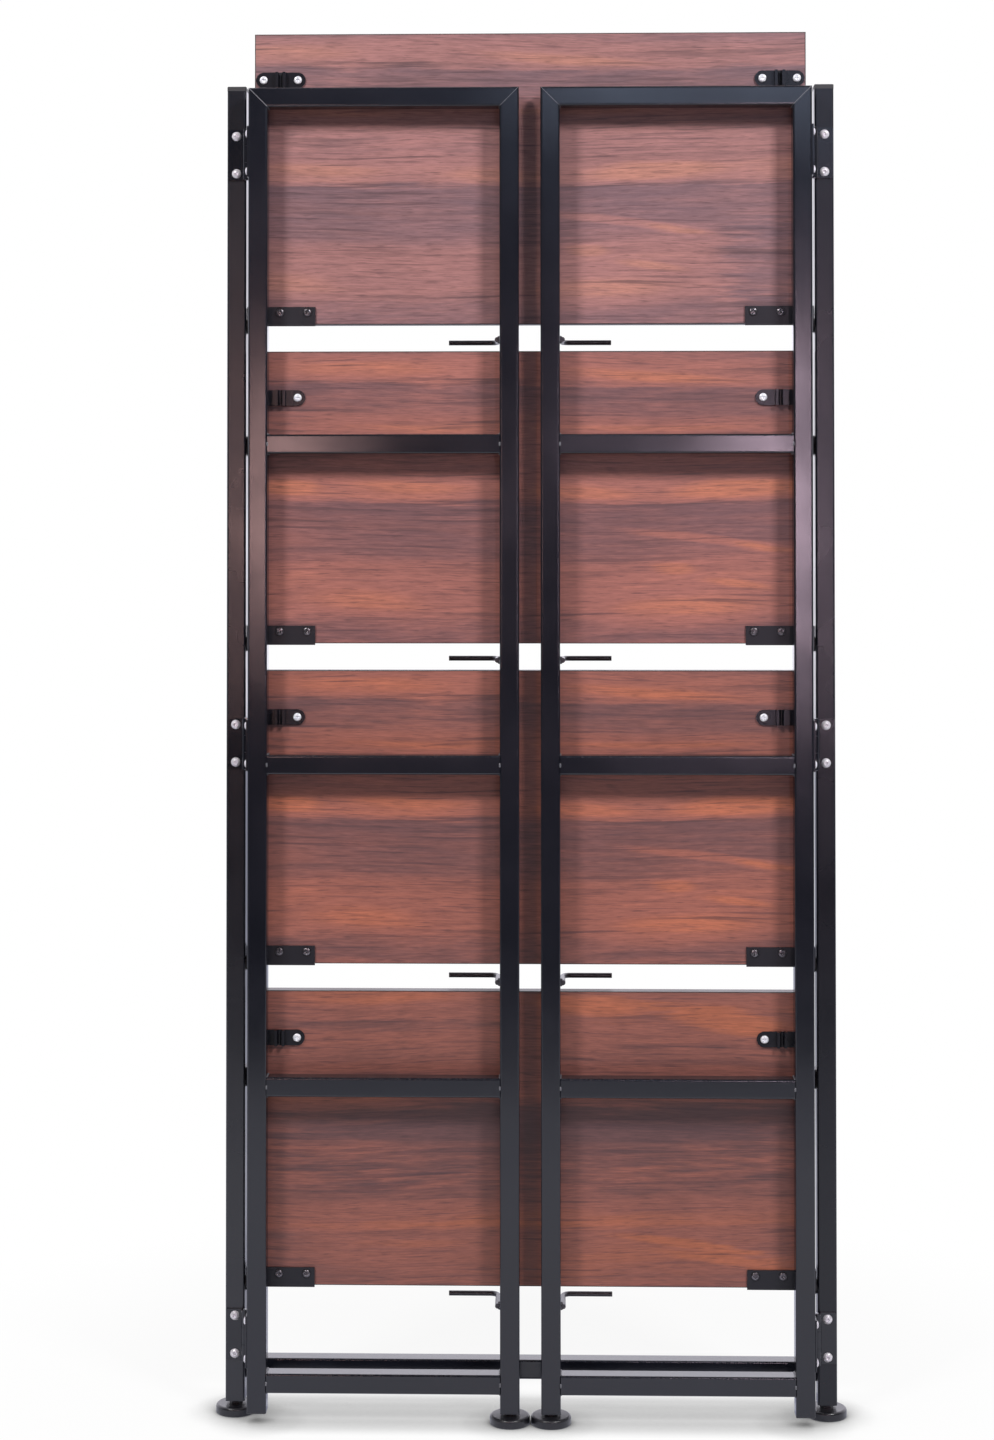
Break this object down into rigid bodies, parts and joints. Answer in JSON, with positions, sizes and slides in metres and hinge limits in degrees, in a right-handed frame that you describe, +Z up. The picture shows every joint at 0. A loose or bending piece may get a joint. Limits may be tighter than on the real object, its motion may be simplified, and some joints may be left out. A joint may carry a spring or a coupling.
{
  "type": "folding bookcase",
  "caption": "Folding bookcase: a black square-tube back frame, hinged ladder-shaped side frames, fold-up walnut boards on pivots, support rods, clips and levelling feet.",
  "frame": {"origin": "on the floor, at the middle of the folded bookcase's box, in line with the front faces of the two back uprights", "axes": "+Z up, +Y to the back, +X to the right as seen from the front"},
  "size_m": [0.62, 0.0755, 1.3605],
  "materials": {
    "black_powder_coat": "satin black powder coat",
    "black_hinge_steel": "satin black",
    "black_rod": "satin black powder coat",
    "black_plastic": "moulded, matte",
    "foot_plastic": "moulded, matte",
    "bright_rivets": "bright",
    "zinc_plated": "zinc plated",
    "dark_screws": "black zinc",
    "walnut_laminate": "walnut melamine, satin"
  },
  "bodies": {
    "bookcase": {"back_upright_left": "black_powder_coat", "back_upright_right": "black_powder_coat", "back_rail_1": "black_powder_coat", "back_rail_2": "black_powder_coat", "back_rail_3": "black_powder_coat", "back_rail_4": "black_powder_coat", "back_rail_end_plugs": "black_plastic", "upright_top_caps": "black_plastic", "hinge_fixed_leaves": "black_hinge_steel", "hinge_pins": "zinc_plated", "hinge_fixed_rivets": "bright_rivets", "shelf_board_1": "walnut_laminate", "shelf_board_2": "walnut_laminate", "shelf_board_3": "walnut_laminate", "shelf_board_4": "walnut_laminate", "shelf_brackets_1": "black_powder_coat", "shelf_brackets_2": "black_powder_coat", "shelf_brackets_3": "black_powder_coat", "shelf_brackets_4": "black_powder_coat", "pivot_pins": "zinc_plated", "pivot_spacers": "black_plastic", "bracket_screws": "dark_screws", "shelf_clips_1": "black_plastic", "shelf_clips_2": "black_plastic", "shelf_clips_3": "black_plastic", "shelf_clips_4": "black_plastic", "clip_screws": "bright_rivets", "back_foot_inserts": "black_plastic"},
    "side_frame_left": {"side_frame_left_outer_upright": "black_powder_coat", "side_frame_left_inner_upright": "black_powder_coat", "side_frame_left_top_rail": "black_powder_coat", "side_frame_left_rail_1": "black_powder_coat", "side_frame_left_rail_2": "black_powder_coat", "side_frame_left_rail_3": "black_powder_coat", "side_frame_left_rail_4": "black_powder_coat", "hinge_moving_leaves_left": "black_hinge_steel", "hinge_moving_rivets_left": "bright_rivets", "support_rods_left": "black_rod", "side_frame_left_end_plugs": "black_plastic"},
    "side_frame_right": {"side_frame_right_outer_upright": "black_powder_coat", "side_frame_right_inner_upright": "black_powder_coat", "side_frame_right_top_rail": "black_powder_coat", "side_frame_right_rail_1": "black_powder_coat", "side_frame_right_rail_2": "black_powder_coat", "side_frame_right_rail_3": "black_powder_coat", "side_frame_right_rail_4": "black_powder_coat", "hinge_moving_leaves_right": "black_hinge_steel", "hinge_moving_rivets_right": "bright_rivets", "support_rods_right": "black_rod", "side_frame_right_end_plugs": "black_plastic"},
    "foot_front_left": {"foot_pad_front_left": "foot_plastic", "foot_stem_front_left": "zinc_plated"},
    "foot_back_left": {"foot_pad_back_left": "foot_plastic", "foot_stem_back_left": "zinc_plated"},
    "foot_front_right": {"foot_pad_front_right": "foot_plastic", "foot_stem_front_right": "zinc_plated"},
    "foot_back_right": {"foot_pad_back_right": "foot_plastic", "foot_stem_back_right": "zinc_plated"}
  },
  "joints": [
    {"name": "side_frame_left_hinge", "type": "hinge", "parent": "bookcase", "child": "side_frame_left", "pos_m": [-0.28, -0.00425, 0.6585], "axis": [0, 0, -1], "range_deg": [0, 90]},
    {"name": "side_frame_right_hinge", "type": "hinge", "parent": "bookcase", "child": "side_frame_right", "pos_m": [0.28, -0.00425, 0.6585], "axis": [0, 0, 1], "range_deg": [0, 90]},
    {"name": "foot_back_left_screw", "type": "hinge", "parent": "bookcase", "child": "foot_back_left", "pos_m": [-0.2905, 0.0095, 0], "axis": [0, 0, 1], "continuous": true},
    {"name": "foot_back_right_screw", "type": "hinge", "parent": "bookcase", "child": "foot_back_right", "pos_m": [0.2905, 0.0095, 0], "axis": [0, 0, 1], "continuous": true},
    {"name": "foot_front_left_screw", "type": "hinge", "parent": "side_frame_left", "child": "foot_front_left", "pos_m": [-0.02, -0.018, 0], "axis": [0, 0, 1], "continuous": true},
    {"name": "foot_front_right_screw", "type": "hinge", "parent": "side_frame_right", "child": "foot_front_right", "pos_m": [0.02, -0.018, 0], "axis": [0, 0, 1], "continuous": true}
  ]
}
